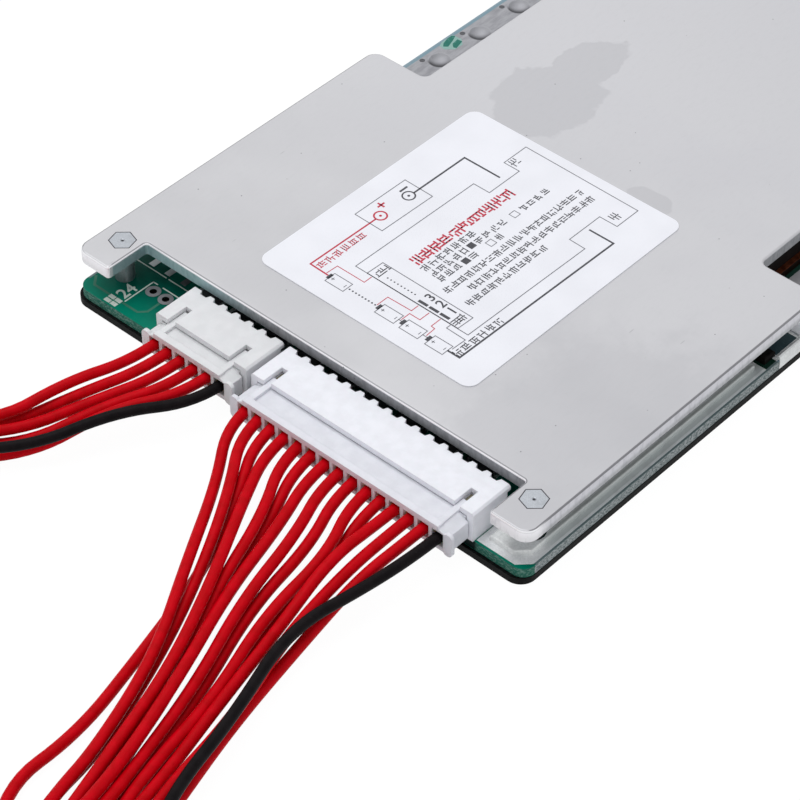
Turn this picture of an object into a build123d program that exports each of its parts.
"""Battery management board: a power circuit board under a flat aluminium heatsink plate, with two side-entry
lead connectors on its front edge and their plugged-in sensing leads. Millimetres, +Z up, +Y from the
connector edge to the far end. The origin is the bottom centre of the board stack."""

from build123d import *
import math
import os

# Board, sheet and plate
board_length = 137.0
board_thickness = 1.6
board_corner = 2.0
sheet_thickness = 1.1
sheet_overhang = 0.5
sheet_side_overhang = 0.3
sheet_shift = -0.2
plate_thickness = 2.0
plate_gap = 4.7
plate_end_gap = 0.3
plate_corner = 2.0
plate_edge_round = 0.35
tab_width = 6.6
front_cut_depth = 7.8
front_cut_corner = 0.5
notch_start = 62.6
notch_far_gap = 18.4
notch_depth = 10.3
notch_corner = 1.2

# Clinched standoffs and their screws
standoff_inset = 3.75
standoff_front = 5.9
standoff_flats = 3.5
standoff_head = 1.1
standoff_turn = 43.0
standoff_barrel = 2.9
standoff_dimple = 0.35
dimple_depth = 0.15
clinch_gap = 0.04
thread_diameter = 2.0
thread_gap = 0.05
thread_depth = 4.0
screw_head_diameter = 3.8
screw_head_height = 0.9
screw_head_round = 0.3
screw_end_gap = 0.5
screw_hole_gap = 0.15
screw_recess_width = 0.6
screw_recess_length = 2.2
screw_recess_depth = 0.45
head_hole_gap = 0.4

# Side-entry headers on the front edge
pitch = 2.5
small_ways = 6
large_ways = 15
header_end = 2.45
header_depth = 5.7
header_height = 5.0
header_overhang = 0.3
header_wall = 0.85
header_floor = 0.9
header_back = 1.3
header_side = 1.15
header_gap = 0.9
header_left_margin = 16.65
header_right_margin = 8.65
header_edge = 0.3
roof_depth = 6.75
tooth_depth = 0.65
tooth_width = 1.1
tooth_taper = 0.15
slot_inset = 2.35
slot_width = 1.15
slot_depth = 3.6
lip_cut_depth = 0.3
pin_size = 0.64
pin_row = 6.2
pin_height = 2.3
pin_start = 0.6
pin_hole_diameter = 1.1
spare_ways = 4
ring_width = 0.6

# Plugs and crimped contacts
plug_gap = 0.12
small_plug_overhang = 2.9
large_plug_overhang = 4.2
plug_depth = 4.2
plug_inset = 0.7
plug_rise = 0.4
plug_panel = 1.1
flange_depth = 1.15
flange_top = 0.6
rail_top = 0.65
small_rail_reach = 3.2
large_rail_reach = 1.9
rail_gap = 0.1
shoulder_drop = 0.3
shoulder_edge = 0.75
rib_between = 0.6
cell_height = 2.4
cell_end = 3.3
ear_depth = 0.6
ear_reach = 4.95
ear_top = 1.1
ear_width = 1.5
ear_round = 0.7
contact_width = 1.3
contact_wall = 0.2
contact_length = 4.4
contact_reach = 3.2
contact_floor = 0.3
crimp_inset = 0.5
crimp_wall = 0.12
crimp_rise = 0.3

# Power parts under the plate
mosfet_pitch = 10.9
mosfet_first = 27.0
mosfet_far_gap = 20.0
mosfet_length = 9.0
mosfet_width = 10.0
mosfet_height = 4.2
mosfet_edge = 10.95
mosfet_tab_thickness = 1.3
mosfet_tab_reach = 0.8
mosfet_lead_width = 0.8
mosfet_lead_reach = 2.6
mosfet_lead_thickness = 0.5
mosfet_lead_height = 1.9
mosfet_lead_root = 0.5
mosfet_lead_spread = 2.54
mosfet_draft = 4.0
mosfet_tab_inset = 0.4
pad_inset = 0.5
shunt_length = 9.0
shunt_width = 4.6
shunt_thickness = 1.2
shunt_foot = 2.0
shunt_foot_thickness = 0.5
shunt_pitch = 12.4
shunt_first = 75.0
shunt_far_gap = 20.0

# Balance resistors behind the headers, and the bare test pads beside them
resistor_length = 5.0
resistor_width = 2.5
resistor_height = 0.6
resistor_cap = 0.6
resistor_pitch = 6.3
resistor_rows = 2
resistor_row_pitch = 4.0
resistor_first = 10.4
resistor_count = 9
resistor_start = -25.2
bare_pad_width = 1.05
bare_pad_length = 2.2
bare_pad_row = 11.1
bare_pad_start = -36.9
bare_pad_pitch = 3.15
bare_pad_count = 3

# Monitor chips and small parts
chip_size = 9.0
chip_height = 1.4
chip_standoff = 0.1
chip_edge = 0.2
chip_lead_count = 12
chip_lead_pitch = 0.65
chip_lead_width = 0.24
chip_lead_reach = 1.1
chip_lead_thickness = 0.15
chip_row = 30.0
chip_spacing = 17.0
capacitor_diameter = 4.0
capacitor_height = 4.2
capacitor_edge = 0.4
capacitor_count = 4
capacitor_pitch = 6.0
capacitor_row = 45.0

# Tinned copper on the board, and the copper strip and bars soldered to it
tin_thickness = 0.06
tin_margin = 0.3
strip_length = 51.6
strip_width = 8.2
strip_thickness = 0.8
strip_margin = 1.15
strip_chamfer = 1.7
strip_edge = 0.25
power_pad_width = 9.1
power_pad_start = 54.0
power_pad_far_gap = 16.4
power_hole_diameter = 3.7
power_hole_pitch = 9.45
power_hole_first = 74.0
power_hole_edge = 3.2
standoff_clearance = 0.4
via_diameter = 0.9
via_offset = 1.9
via_back = 1.95
solder_dish_diameter = 3.3
solder_dish_depth = 0.7

# Label
label_width = 39.6
label_length = 46.1
label_corner = 1.8
label_thickness = 0.12
label_shift = -1.25
label_front = 15.6

# Sensing leads, and the coils and ties of the stretch past the picture's edge
lead_diameter = 1.6
lead_length = 300.0
exit_run = 6.0
entry_run = 10.0
coil_spacing = 1.7
coil_floor = 0.5
coil_high = 3
large_coil_wide = 5
large_coil_radius = 23.0
large_coil_bore = 9.0
large_coil_x = 33.0
large_coil_entry = -92.0
large_coil_tail = 20.0
small_coil_wide = 2
small_coil_radius = 16.5
small_coil_bore = 8.0
small_coil_x = -42.5
small_coil_entry = -58.0
small_coil_tail = 8.0
tie_width = 3.0
tie_thickness = 0.5
tie_head = 4.2
tie_head_height = 2.6
tie_angles = (110, 290)
bend_share = 0.45

# How far a corner or an edge may lie from the line that picks it
same_line = 0.01

# Each lead between its plug and its coil, from left to right: X, distance behind the front edge, height
small_routes = [
    [(-26, -16.5, 5.2), (-29, -27.5, 3.1), (-42.5, -38, 3.2)],
    [(-24, -15.5, 3.8), (-29.5, -27, 1.1), (-39.5, -38, 0.9)],
    [(-22, -15, 3.3), (-26, -27, 2.8), (-36, -38, 4.4)],
    [(-19.5, -15.5, 4.2), (-25, -27.5, 0.9), (-37.5, -37, 1.8)],
    [(-18, -16, 4.8), (-22.5, -27.5, 1.2), (-33.5, -37.5, 0.9)],
    [(-16.5, -16.5, 5.7), (-22, -28, 3.3), (-31, -38.5, 5.2)],
]
large_routes = [
    [(1.5, -15.5, 3.5), (9.5, -29, 4.5), (17, -42, 3.4), (22, -57, 2.6), (24.5, -66.5, 4)],
    [(5, -16.5, 5.4), (11, -28, 3.1), (16.5, -41, 1.6), (21.5, -56.5, 0.9), (22.5, -66, 0.9)],
    [(5.5, -15.5, 3.7), (10, -27, 1.2), (14, -42, 0.9), (17.5, -56, 0.9), (17, -68.5, 0.9)],
    [(7.5, -16.5, 5.1), (14.5, -29.5, 5), (20.5, -43, 4.2), (24, -56.5, 3.1), (28, -69, 3.9)],
    [(11, -16.5, 4.8), (14.5, -28.5, 3.2), (21.5, -42.5, 2.5), (25.5, -57, 1.6), (28.5, -64.5, 0.9)],
    [(11, -15, 2.9), (14.5, -27, 1.4), (20, -41.5, 0.9), (23.5, -56.5, 1), (26.5, -66.5, 1.1)],
    [(13.5, -16, 4.3), (16.5, -28.5, 3.9), (22.5, -43, 4.7), (26.5, -57, 3.6), (30, -68.5, 6.1)],
    [(16.5, -16, 4.7), (19, -28.5, 3.9), (24, -42, 3), (27.5, -56, 2.4), (32, -69, 5.6)],
    [(18.5, -15.5, 3.7), (19.5, -27.5, 2.2), (24.5, -42, 1.2), (28, -56, 0.9), (31, -68, 3)],
    [(22, -16, 4.7), (22.5, -28, 3.3), (27, -42, 2.6), (29.5, -56.5, 2.9), (33.5, -68, 3.2)],
    [(21.5, -14.5, 1.9), (23, -27, 1.7), (27.5, -42, 0.9), (30, -56.5, 1.1), (32.5, -65.5, 1.1)],
    [(23.5, -17, 5.9), (25, -28, 2.9), (28.5, -42.5, 3.3), (31.5, -56, 2.4), (35, -68, 5.7)],
    [(25.5, -16, 4.3), (27, -28.5, 3.6), (31, -42.5, 2.8), (33.5, -56.5, 3.6), (36.5, -66, 3.6)],
    [(27.5, -16, 4.1), (28.5, -27.5, 2.3), (30.5, -42, 0.9), (34, -55, 0.9), (37, -65.5, 0.9)],
    [(29.5, -16.5, 4.7), (27.5, -29, 5.2), (32, -43.5, 4.5), (35, -57, 4.7), (41, -68, 5.4)],
]

# Each lead's place in its bundle from the coil's entry on: steps out from the middle, and layer
small_slots = [(-0.5, 1), (-0.5, 0), (-0.5, 2), (0.5, 1), (0.5, 0), (0.5, 2)]
large_slots = [(-2, 2), (-2, 1), (-2, 0), (-1, 1), (0, 0), (-1, 0), (-1, 2), (0, 2), (0, 1), (1, 1)]
large_slots += [(1, 0), (1, 2), (2, 1), (2, 0), (2, 2)]

# Heights and lines that follow from the sizes above
front = -board_length / 2
board_bottom = sheet_thickness
board_top = board_bottom + board_thickness
plate_bottom = board_top + plate_gap
plate_top = plate_bottom + plate_thickness
small_length = pitch * (small_ways - 1) + 2 * header_end
large_length = pitch * (large_ways - 1) + 2 * header_end
board_width = header_left_margin + small_length + header_gap + large_length + header_right_margin
small_centre = -board_width / 2 + header_left_margin + small_length / 2
large_centre = board_width / 2 - header_right_margin - large_length / 2
header_front = front - header_overhang
header_top = board_top + header_height
cavity_floor = board_top + header_floor
cavity_top = header_top - header_wall
lead_height = board_top + pin_height
plug_top = header_top - plug_panel
plug_low = board_top + plug_rise
lead_start = header_front + contact_reach - contact_length
mosfet_outer = board_width / 2 - mosfet_edge
power_pad_end = board_length - power_pad_far_gap
mosfets_per_row = 1 + int((board_length - mosfet_far_gap - mosfet_first) / mosfet_pitch)
shunt_count = 1 + int((board_length - shunt_far_gap - shunt_first) / shunt_pitch)
power_hole_count = 1 + int((power_pad_end - power_hole_edge - power_hole_first) / power_hole_pitch)


def block(x0, x1, y0, y1, z0, z1):
    """A box between two corners."""
    return Pos((x0 + x1) / 2, (y0 + y1) / 2, (z0 + z1) / 2) * Box(x1 - x0, y1 - y0, z1 - z0)


def post(x, y, z0, z1, diameter):
    """An upright cylinder."""
    return Pos(x, y, (z0 + z1) / 2) * Cylinder(diameter / 2, z1 - z0)


def slab(width, y0, y1, corner, z0, z1):
    """A flat sheet with rounded corners, centred on X."""
    face = Pos(0, (y0 + y1) / 2, z0) * RectangleRounded(width, y1 - y0, corner)
    return extrude(face, z1 - z0)


def prism(points, start, end, plane):
    """An outline drawn on a plane through the origin and extruded between two distances from it."""
    face = plane * make_face(Polyline(*points, close=True))
    return extrude(Pos(*(plane.z_dir * start)) * face, end - start, dir=plane.z_dir)


# Drawing planes: across the board, with X to the right and Z up, and along it, with Y to the right
across = Plane(origin=(0, 0, 0), x_dir=(1, 0, 0), z_dir=(0, -1, 0))
along = Plane(origin=(0, 0, 0), x_dir=(0, 1, 0), z_dir=(1, 0, 0))


def standoff_places():
    """The four screw points, at the plate's corner tabs."""
    side = board_width / 2 - standoff_inset
    near = front + standoff_front
    far = front + board_length - standoff_front
    return [(-side, near), (side, near), (-side, far), (side, far)]


def way_centres(centre, ways):
    """The X of each way of a connector."""
    return [centre + (i - (ways - 1) / 2) * pitch for i in range(ways)]


def spare_centres():
    """The unused pin holes beside the small header, on its own pitch."""
    first = way_centres(small_centre, small_ways)[0]
    return [first - (i + 1) * pitch for i in range(spare_ways)]


def power_hole_places():
    """The solder holes along both power pads."""
    x = board_width / 2 - power_hole_edge
    return [
        (side * x, front + power_hole_first + i * power_hole_pitch)
        for side in (-1, 1)
        for i in range(power_hole_count)
    ]


def insulating_sheet():
    """The black sheet under the board, open round the screw heads."""
    sheet = slab(
        board_width + 2 * sheet_side_overhang,
        front - sheet_overhang,
        front + board_length + sheet_overhang,
        board_corner + sheet_overhang,
        0,
        sheet_thickness,
    )
    opening = screw_head_diameter + 2 * head_hole_gap
    holes = [post(x, y, 0, sheet_thickness, opening) for x, y in standoff_places()]
    return Pos(sheet_shift, 0, 0) * sheet - holes


def circuit_board():
    """The green board with its screw, pin, solder and via holes."""
    board = slab(board_width, front, front + board_length, board_corner, board_bottom, board_top)
    pins = way_centres(small_centre, small_ways) + way_centres(large_centre, large_ways)
    holes = [(x, y, thread_diameter + 2 * screw_hole_gap) for x, y in standoff_places()]
    holes += [(x, front + pin_row, pin_hole_diameter) for x in pins + spare_centres()]
    holes += [(x, y, power_hole_diameter) for x, y in power_hole_places()]
    holes += [
        (x + math.copysign(via_offset, x), y - via_back, via_diameter) for x, y in power_hole_places()
    ]
    return board - [post(x, y, board_bottom, board_top, diameter) for x, y, diameter in holes]


def plate_outline():
    """The plate from above: tabs at the front corners, and a notch on each side over the power pads."""
    half = board_width / 2
    tab = half - tab_width
    inner = half - notch_depth
    near = front + plate_end_gap
    far = front + board_length - plate_end_gap
    cut = front + front_cut_depth
    start = front + notch_start
    end = front + board_length - notch_far_gap
    right = [(tab, cut), (tab, near), (half, near), (half, start)]
    right += [(inner, start), (inner, end), (half, end), (half, far)]
    left = [(-x, y) for x, y in reversed(right)]
    face = make_face(Polyline(*right, *left, close=True))
    for x, radius in ((half, plate_corner), (inner, notch_corner), (tab, front_cut_corner)):
        corners = [v for v in face.vertices() if abs(abs(v.X) - x) < same_line]
        face = fillet(corners, radius)
    return face


def hexagon(x, y, z0, z1, flats):
    """A hexagonal prism, turned as the standoffs stand in the plate."""
    face = Pos(x, y, z0) * Rot(0, 0, standoff_turn) * RegularPolygon(flats / 2, 6, major_radius=False)
    return extrude(face, z1 - z0)


def heatsink_plate():
    """The aluminium plate, with rolled edges and the standoffs' pockets."""
    plate = extrude(Pos(0, 0, plate_bottom) * plate_outline(), plate_thickness)
    top = plate.faces().sort_by(Axis.Z)[-1]
    plate = fillet(top.outer_wire().edges(), plate_edge_round)
    ledge = plate_top - standoff_head
    for x, y in standoff_places():
        plate -= hexagon(x, y, ledge, plate_top, standoff_flats + 2 * clinch_gap)
        plate -= post(x, y, plate_bottom, ledge, standoff_barrel + 2 * clinch_gap)
    return plate


def standoff(x, y):
    """A clinched standoff: flush hexagon head, round barrel, blind thread from below."""
    ledge = plate_top - standoff_head
    body = hexagon(x, y, ledge, plate_top, standoff_flats)
    body += post(x, y, board_top, ledge, standoff_barrel)
    body -= post(x, y, board_top, board_top + thread_depth, thread_diameter + 2 * thread_gap)
    dimple = Cone(standoff_dimple / 4, standoff_dimple, dimple_depth)
    return body - Pos(x, y, plate_top - dimple_depth / 2) * dimple


def board_screw(x, y):
    """A small screw from below, its cross-recessed head in the sheet's hole."""
    low = board_bottom - screw_head_height
    screw = post(x, y, board_bottom, board_top + thread_depth - screw_end_gap, thread_diameter)
    head = post(x, y, low, board_bottom, screw_head_diameter)
    screw += fillet(head.faces().sort_by(Axis.Z)[0].edges(), screw_head_round)
    for long, wide in (
        (screw_recess_length, screw_recess_width),
        (screw_recess_width, screw_recess_length),
    ):
        screw -= Pos(x, y, low + screw_recess_depth / 2) * Box(long, wide, screw_recess_depth)
    return screw


def connector_ends(centre, ways):
    """The X of a connector's two ends."""
    half = pitch * (ways - 1) / 2 + header_end
    return centre - half, centre + half


def roof_outline(x0, x1, centre, ways):
    """The header's top from above: two slots in front, and a valley at each way behind."""
    back = header_front + roof_depth
    tip = back + tooth_depth
    slot = header_front + slot_depth
    lip = header_front + lip_cut_depth
    foot = (pitch - tooth_width) / 2 - tooth_taper
    mouth = (pitch - tooth_width) / 2 + tooth_taper
    left, right = x0 + slot_inset, x1 - slot_inset
    points = [(x0, header_front), (left, header_front), (left, slot), (left + slot_width, slot)]
    points += [(left + slot_width, lip), (right - slot_width, lip), (right - slot_width, slot)]
    points += [(right, slot), (right, header_front), (x1, header_front), (x1, tip)]
    for x in reversed(way_centres(centre, ways)):
        points += [(x + mouth, tip), (x + foot, back), (x - foot, back), (x - mouth, tip)]
    return points + [(x0, tip)]


def header(centre, ways):
    """A side-entry header: open front, slotted and toothed roof, and a thick wall that holds the pins."""
    x0, x1 = connector_ends(centre, ways)
    back = header_front + header_depth
    body = block(x0, x1, header_front, back, board_top, header_top)
    for a, b in ((x0, x0 + header_side), (x1 - header_side, x1)):
        body += block(a, b, header_front, header_front + roof_depth, board_top, header_top)
    roof = prism(roof_outline(x0, x1, centre, ways), cavity_top, header_top, Plane.XY)
    body -= block(x0, x1, header_front, header_front + roof_depth, cavity_top, header_top)
    body += roof
    body -= block(
        x0 + header_side,
        x1 - header_side,
        header_front,
        back - header_back,
        cavity_floor,
        cavity_top,
    )
    for x in way_centres(centre, ways):
        half = pin_size / 2
        body -= block(
            x - half, x + half, back - header_back, back, lead_height - half, lead_height + half
        )
    return chamfer(long_top_edges(body, x0, x1), header_edge)


def long_top_edges(body, x0, x1):
    """The header's two outer top edges, at its ends."""
    edges = body.edges().filter_by(Axis.Y)
    top = [e for e in edges if abs(e.center().Z - header_top) < same_line]
    return [e for e in top if min(abs(e.center().X - x0), abs(e.center().X - x1)) < same_line]


def header_pin(x):
    """A bent square pin: out of the wall to the front, and down through the board behind."""
    half = pin_size / 2
    row = front + pin_row
    low = board_top - board_thickness
    tip = header_front + pin_start
    points = [(tip, lead_height + half), (tip, lead_height - half)]
    points += [(row - half, lead_height - half), (row - half, low)]
    points += [(row + half, low), (row + half, lead_height + half)]
    return prism(points, x - half, x + half, along)


def plug_section(x0, x1):
    """The plug outside its header, seen from the front: recessed top, two rails, sloping shoulders."""
    rail = header_top - rail_top
    shoulder = header_top - rail_top - shoulder_drop
    side = header_top - shoulder_edge - shoulder_drop - rail_top
    outer = x1 - slot_inset - rail_gap
    inner = x1 - slot_inset - slot_width + rail_gap
    end = x1 - plug_inset
    right = [(inner, plug_top), (inner, rail), (outer, rail), (outer, shoulder), (end, side), (end, plug_low)]
    middle = x0 + x1
    left = [(middle - x, z) for x, z in reversed(right)]
    return right + left


def plug(centre, ways, overhang, rail_reach):
    """A mated plug: outer section and flange, core in the header, rails in its slots, ears, wire cells."""
    x0, x1 = connector_ends(centre, ways)
    plug_face = header_front - overhang
    mouth = header_front - plug_gap
    core = header_side + plug_gap
    body = prism(plug_section(x0, x1), -mouth, -plug_face, across)
    body += block(x0 + core, x1 - core, mouth, header_front + plug_depth, cavity_floor, plug_top)
    body += block(
        x0 + slot_inset,
        x1 - slot_inset,
        plug_face,
        plug_face + flange_depth,
        plug_top,
        header_top - flange_top,
    )
    for a in (x0 + slot_inset + rail_gap, x1 - slot_inset - slot_width + rail_gap):
        b = a + slot_width - 2 * rail_gap
        body += block(a, b, mouth, header_front + rail_reach, plug_top, header_top - rail_top)
    for a, b in ((x0, x0 + ear_width), (x1 - ear_width, x1)):
        ear = block(
            a, b, plug_face, plug_face + ear_depth, header_top - ear_reach, header_top - ear_top
        )
        body += fillet(ear.edges().filter_by(Axis.Y), ear_round)
    cell = (pitch - rib_between) / 2
    low = lead_height - cell_height / 2
    tip = header_front + plug_depth
    for x in way_centres(centre, ways):
        body -= block(x - cell, x + cell, plug_face, header_front + cell_end, low, low + cell_height)
        body -= Pos(x, (plug_face + tip) / 2, lead_height) * Box(2 * pin_size, tip - plug_face, 2 * pin_size)
    return body


def contact(x, overhang):
    """A crimped contact: a square receptacle on the pin, and crimp wings round the lead."""
    plug_face = header_front - overhang
    low = lead_height - lead_diameter / 2 - crimp_wall
    wings = lead_height + lead_diameter / 2 + crimp_rise
    outer = lead_diameter / 2 + crimp_wall
    inner = lead_diameter / 2
    floor = lead_height - lead_diameter / 2
    crimp = [(x - outer, low), (x + outer, low), (x + outer, wings), (x + inner, wings)]
    crimp += [(x + inner, floor), (x - inner, floor), (x - inner, wings), (x - outer, wings)]
    body = prism(crimp, -lead_start, -plug_face - crimp_inset, across)
    half = contact_width / 2
    end = lead_start + contact_length
    body += block(x - half, x + half, lead_start, end, low, lead_height + half)
    bore = half - contact_wall
    return body - block(
        x - bore,
        x + bore,
        lead_start + contact_floor,
        end,
        lead_height - bore,
        lead_height + bore,
    )


def mosfet_places():
    """Each transistor's side of the board and its Y."""
    return [
        (side, front + mosfet_first + i * mosfet_pitch)
        for side in (-1, 1)
        for i in range(mosfets_per_row)
    ]


def mosfet_tab(side, y):
    """The copper tab under the body, with its edge standing out at the power pad."""
    outer = side * (mosfet_outer + mosfet_tab_reach)
    inner = side * (mosfet_outer - mosfet_length + mosfet_lead_reach)
    half = mosfet_width / 2 - mosfet_tab_inset
    x0, x1 = sorted((inner, outer))
    return block(x0, x1, y - half, y + half, board_top, board_top + mosfet_tab_thickness)


def mosfet_leads(side, y):
    """The two bent leads, from the body's inner face down to the board."""
    edge = mosfet_outer - mosfet_length
    reach, knee, thick = mosfet_lead_reach, mosfet_lead_reach / 2, mosfet_lead_thickness
    high = mosfet_lead_height
    outline = [(reach, 0), (knee, 0), (knee, high - thick), (-mosfet_lead_root, high - thick)]
    outline += [(-mosfet_lead_root, high), (knee + thick, high), (knee + thick, thick), (reach, thick)]
    points = [(side * (edge - out), board_top + up) for out, up in outline]
    half = mosfet_lead_width / 2
    return [
        prism(points, -y - offset - half, -y - offset + half, across)
        for offset in (-mosfet_lead_spread, mosfet_lead_spread)
    ]


def mosfet_body(side, y):
    """The moulded body, drafted on all sides, round its tab and leads."""
    centre = side * (mosfet_outer - mosfet_length / 2)
    face = Pos(centre, y, board_top) * Rectangle(mosfet_length, mosfet_width)
    body = extrude(face, mosfet_height, taper=mosfet_draft)
    return body - [mosfet_tab(side, y), *mosfet_leads(side, y)]


def thermal_pad(side):
    """The soft pad between a row of transistors and the plate."""
    inner = side * (mosfet_outer - mosfet_length + pad_inset)
    outer = side * (mosfet_outer - pad_inset)
    x0, x1 = sorted((inner, outer))
    y0 = front + mosfet_first - mosfet_width / 2
    y1 = y0 + (mosfets_per_row - 1) * mosfet_pitch + mosfet_width
    return block(x0, x1, y0, y1, board_top + mosfet_height, plate_bottom)


def shunt(i):
    """A current-sensing strip, bridged over the board on two feet."""
    y = front + shunt_first + i * shunt_pitch
    end, foot = shunt_length / 2, shunt_length / 2 - shunt_foot
    base = board_top + shunt_foot_thickness
    top = base + shunt_thickness
    right = [(foot, base), (foot, board_top), (end, board_top), (end, top)]
    left = [(-x, z) for x, z in reversed(right)]
    return prism(right + left, -y - shunt_width / 2, -y + shunt_width / 2, across)


def resistor_places():
    """The centre of each balance resistor."""
    return [
        (resistor_start + i * resistor_pitch, front + resistor_first + row * resistor_row_pitch)
        for row in range(resistor_rows)
        for i in range(resistor_count)
    ]


def bare_pad(i):
    """A bare test pad at the left end of the resistor rows."""
    x, y = bare_pad_start + i * bare_pad_pitch, front + bare_pad_row
    return Pos(x, y, board_top + tin_thickness / 2) * Box(bare_pad_width, bare_pad_length, tin_thickness)


def resistor_body(x, y):
    """The ceramic chip between its end caps."""
    half = resistor_length / 2 - resistor_cap
    base = board_top + tin_thickness
    wide = resistor_width / 2
    return block(x - half, x + half, y - wide, y + wide, base, base + resistor_height)


def resistor_caps(x, y):
    """Its two tinned end caps."""
    end, wide = resistor_length / 2, resistor_width / 2
    base = board_top + tin_thickness
    return [
        block(a, a + resistor_cap, y - wide, y + wide, base, base + resistor_height)
        for a in (x - end, x + end - resistor_cap)
    ]


def resistor_pads(x, y):
    """The two tinned pads of a resistor's place."""
    end, wide = resistor_length / 2 - resistor_cap, resistor_width / 2
    return [
        block(
            a - resistor_cap, a + resistor_cap, y - wide, y + wide, board_top, board_top + tin_thickness
        )
        for a in (x - end, x + end)
    ]


def chip_places():
    """The two monitor chips behind the connectors."""
    return [(side * chip_spacing / 2, front + chip_row) for side in (-1, 1)]


def monitor_chip(x, y):
    """A flat square chip package with bevelled top edges."""
    low = board_top + chip_standoff
    body = block(
        x - chip_size / 2, x + chip_size / 2, y - chip_size / 2, y + chip_size / 2, low, low + chip_height
    )
    return chamfer(body.faces().sort_by(Axis.Z)[-1].edges(), chip_edge)


def chip_leads(x, y):
    """Its two rows of flat leads."""
    half = chip_lead_width / 2
    leads = []
    for side in (-1, 1):
        x0, x1 = sorted((x + side * chip_size / 2, x + side * (chip_size / 2 + chip_lead_reach)))
        for i in range(chip_lead_count):
            at = y + (i - (chip_lead_count - 1) / 2) * chip_lead_pitch
            leads.append(block(x0, x1, at - half, at + half, board_top, board_top + chip_lead_thickness))
    return leads


def capacitor(i):
    """A small round capacitor between the transistor rows."""
    x = (i - (capacitor_count - 1) / 2) * capacitor_pitch
    can = post(x, front + capacitor_row, board_top, board_top + capacitor_height, capacitor_diameter)
    return fillet(can.faces().sort_by(Axis.Z)[-1].edges(), capacitor_edge)


def strip_area(inset, z0, z1):
    """The right edge's strip area, its front corner cut, its border moved in, open round the standoff."""
    right = board_width / 2 - tin_margin - inset
    left = board_width / 2 - tin_margin - strip_width + inset
    near = front + tin_margin + inset
    far = front + strip_length - inset
    points = [(left, near), (right - strip_chamfer, near), (right, near + strip_chamfer)]
    area = prism(points + [(right, far), (left, far)], z0, z1, Plane.XY)
    x, y = standoff_places()[1]
    return area - post(x, y, z0, z1, standoff_barrel + 2 * standoff_clearance)


def busbar():
    """The copper bar soldered along the right edge, with rounded top edges."""
    low = board_top + tin_thickness
    bar = strip_area(strip_margin, low, low + strip_thickness)
    top = bar.faces().sort_by(Axis.Z)[-1]
    return fillet(top.outer_wire().edges(), strip_edge)


def power_pad(side):
    """A bare tinned power pad along one side, open at its solder holes."""
    edge = side * (board_width / 2 - tin_margin)
    inner = side * (board_width / 2 - tin_margin - power_pad_width)
    x0, x1 = sorted((edge, inner))
    top = board_top + tin_thickness
    area = block(x0, x1, front + power_pad_start, front + power_pad_end, board_top, top)
    for x, y in power_hole_places():
        area -= post(x, y, board_top, top, power_hole_diameter)
        area -= post(x + math.copysign(via_offset, x), y - via_back, board_top, top, via_diameter)
    return area


def solder_fill(x, y):
    """The solder in a power pad's hole, dished at its top."""
    top = board_top + tin_thickness
    fill = post(x, y, board_bottom, top, power_hole_diameter)
    ball = ((solder_dish_diameter / 2) ** 2 + solder_dish_depth**2) / (2 * solder_dish_depth)
    return fill - Pos(x, y, top - solder_dish_depth + ball) * Sphere(ball)


def spare_ring(x):
    """The tinned ring round an unused pin hole."""
    y = front + pin_row
    top = board_top + tin_thickness
    ring = post(x, y, board_top, top, pin_hole_diameter + 2 * ring_width)
    end = connector_ends(small_centre, small_ways)[0]
    ring -= block(end, end + header_side, header_front, header_front + roof_depth, board_top, top)
    return ring - post(x, y, board_top, top, pin_hole_diameter)


def tinned_areas():
    """All the bare tinned copper on the board's top."""
    areas = [strip_area(0, board_top, board_top + tin_thickness), power_pad(-1), power_pad(1)]
    areas += [spare_ring(x) for x in spare_centres()]
    areas += [bare_pad(i) for i in range(bare_pad_count)]
    return areas + [pad for x, y in resistor_places() for pad in resistor_pads(x, y)]


def label():
    """The printed sticker on the plate."""
    y = front + label_front + label_length / 2
    face = Pos(label_shift, y, plate_top) * RectangleRounded(label_width, label_length, label_corner)
    return extrude(face, label_thickness)


def corner_radii(points):
    """A lead's bend radii: as large as the two runs at each corner allow."""
    radii = []
    for before, corner, after in zip(points, points[1:], points[2:]):
        run_in, run_out = Vector(corner) - Vector(before), Vector(after) - Vector(corner)
        turn = math.radians(run_in.get_angle(run_out))
        radii.append(bend_share * min(run_in.length, run_out.length) / math.tan(turn / 2))
    return radii


def lead(name, points):
    """A sensing lead, as a tube of straight runs and arcs from its contact to its coil."""
    radii = corner_radii(points)
    path = FilletPolyline(*points, radius=radii)
    start = Plane(origin=points[0], z_dir=Vector(points[1]) - Vector(points[0]))
    tube = sweep(start * Circle(lead_diameter / 2), path=path)
    section = math.pi * (lead_diameter / 2) ** 2
    print(name, "radii", [round(r, 1) for r in radii], "length", round(path.length, 1),
          "volume ratio", round(tube.volume / section / path.length, 3))
    return tube


def route(way_x, points, slot, coil_x, entry):
    """A lead's whole route: out of its contact, along its chosen points, and into its place in the coil."""
    step, layer = slot
    height = coil_floor + (layer + 0.5) * coil_spacing
    end_x = coil_x + step * coil_spacing
    start = [(way_x, lead_start, lead_height), (way_x, lead_start - exit_run, lead_height)]
    middle = [(x, front + y, z) for x, y, z in points]
    end = [(end_x, front + entry + entry_run, height), (end_x, front + entry, height)]
    return start + middle + end


def leads(name, centre, ways, routes, slots, coil_x, entry):
    """All the leads of one plug, in a node each."""
    found = {}
    for i, x in enumerate(way_centres(centre, ways)):
        node = f"{name}_{i + 1:02d}"
        found[node] = lead(node, route(x, routes[i], slots[i], coil_x, entry))
    return found


def coil_centre(coil_x, entry, tail, side, radius):
    """The middle of a coil that its bundle enters on one side, behind the front edge."""
    return coil_x - side * radius, front + entry - tail


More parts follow.
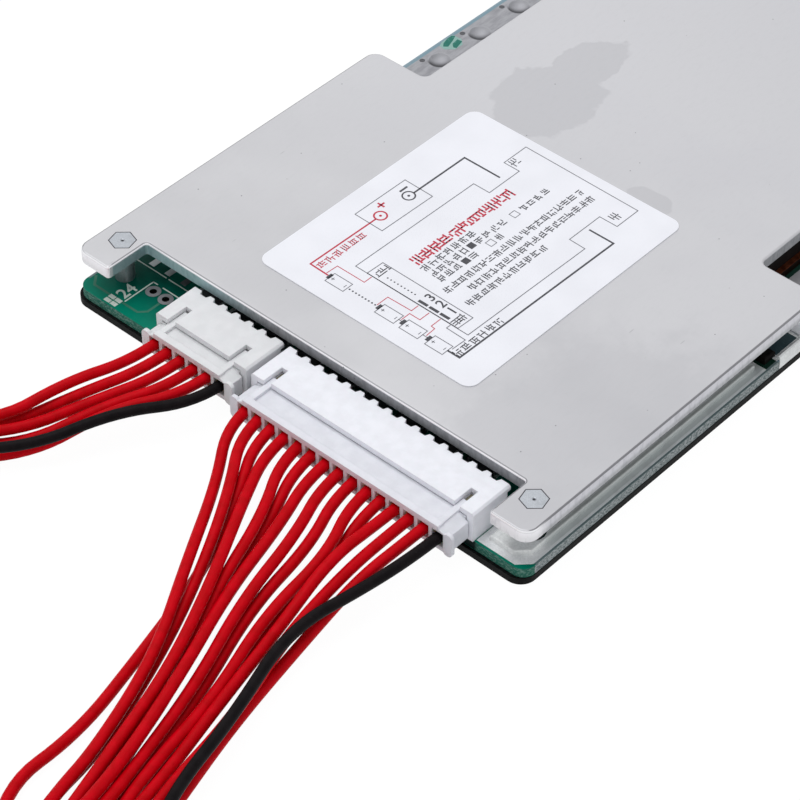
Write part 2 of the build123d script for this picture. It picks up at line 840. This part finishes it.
def coil(coil_x, entry, tail, side, radius, wide, bore):
    """The wound stretch of a bundle: a flat ring, beside the straight end that the leads run into."""
    x, y = coil_centre(coil_x, entry, tail, side, radius)
    half = wide * coil_spacing / 2
    outer = radius + half
    top = coil_floor + coil_high * coil_spacing
    beside, beyond = sorted((coil_x - side * half, coil_x + side * outer))
    ring = post(x, y, coil_floor, top, 2 * outer)
    ring -= block(beside, beyond, y, y + outer, coil_floor, top)
    ring += block(coil_x - half, coil_x + half, y, front + entry, coil_floor, top)
    return ring - post(x, y, coil_floor, top, 2 * bore)


def coil_ties(coil_x, entry, tail, side, radius, wide, bore):
    """Two cable ties round a coil's section, which lies on them."""
    x, y = coil_centre(coil_x, entry, tail, side, radius)
    wound = coil(coil_x, entry, tail, side, radius, wide, bore)
    outer = radius + wide * coil_spacing / 2
    top = coil_floor + coil_high * coil_spacing + tie_thickness
    half, head = tie_width / 2, tie_head / 2
    ties = []
    for angle in tie_angles:
        band = block(bore - tie_thickness, outer + tie_thickness, -half, half, 0, top)
        band += block(outer - tie_head, outer, -head, head, top, top + tie_head_height)
        ties.append(Pos(x, y, 0) * Rot(0, 0, angle) * band - wound)
    return ties


def group(shapes):
    """Separate solids in one node."""
    return Compound(children=[solid for shape in shapes for solid in shape.solids()])


small_coil = (small_coil_x, small_coil_entry, small_coil_tail, -1, small_coil_radius, small_coil_wide)
large_coil = (large_coil_x, large_coil_entry, large_coil_tail, 1, large_coil_radius, large_coil_wide)

nodes = {
    "insulating_sheet": insulating_sheet(),
    "circuit_board": circuit_board(),
    "heatsink_plate": heatsink_plate(),
    "plate_standoffs": group([standoff(x, y) for x, y in standoff_places()]),
    "board_screws": group([board_screw(x, y) for x, y in standoff_places()]),
    "header_6way": header(small_centre, small_ways),
    "header_15way": header(large_centre, large_ways),
    "header_6way_pins": group([header_pin(x) for x in way_centres(small_centre, small_ways)]),
    "header_15way_pins": group([header_pin(x) for x in way_centres(large_centre, large_ways)]),
    "plug_6way": plug(small_centre, small_ways, small_plug_overhang, small_rail_reach),
    "plug_15way": plug(large_centre, large_ways, large_plug_overhang, large_rail_reach),
    "plug_6way_contacts": group(
        [contact(x, small_plug_overhang) for x in way_centres(small_centre, small_ways)]
    ),
    "plug_15way_contacts": group(
        [contact(x, large_plug_overhang) for x in way_centres(large_centre, large_ways)]
    ),
    "mosfet_bodies": group([mosfet_body(side, y) for side, y in mosfet_places()]),
    "mosfet_tabs": group([mosfet_tab(side, y) for side, y in mosfet_places()]),
    "mosfet_leads": group([pair for side, y in mosfet_places() for pair in mosfet_leads(side, y)]),
    "thermal_pads": group([thermal_pad(side) for side in (-1, 1)]),
    "current_shunts": group([shunt(i) for i in range(shunt_count)]),
    "balance_resistors": group([resistor_body(x, y) for x, y in resistor_places()]),
    "resistor_caps": group([cap for x, y in resistor_places() for cap in resistor_caps(x, y)]),
    "monitor_chips": group([monitor_chip(x, y) for x, y in chip_places()]),
    "chip_leads": group([leg for x, y in chip_places() for leg in chip_leads(x, y)]),
    "capacitors": group([capacitor(i) for i in range(capacitor_count)]),
    "tinned_areas": group(tinned_areas()),
    "power_pad_solder": group([solder_fill(x, y) for x, y in power_hole_places()]),
    "copper_busbar": busbar(),
    "label": label(),
    "lead_coil_6way": coil(*small_coil, small_coil_bore),
    "lead_coil_15way": coil(*large_coil, large_coil_bore),
    "coil_ties_6way": group(coil_ties(*small_coil, small_coil_bore)),
    "coil_ties_15way": group(coil_ties(*large_coil, large_coil_bore)),
}
nodes |= leads(
    "lead_6way", small_centre, small_ways, small_routes, small_slots, small_coil_x, small_coil_entry
)
nodes |= leads(
    "lead_15way", large_centre, large_ways, large_routes, large_slots, large_coil_x, large_coil_entry
)

os.makedirs("parts", exist_ok=True)
for node, shape in nodes.items():
    export_step(shape, f"parts/{node}.step")
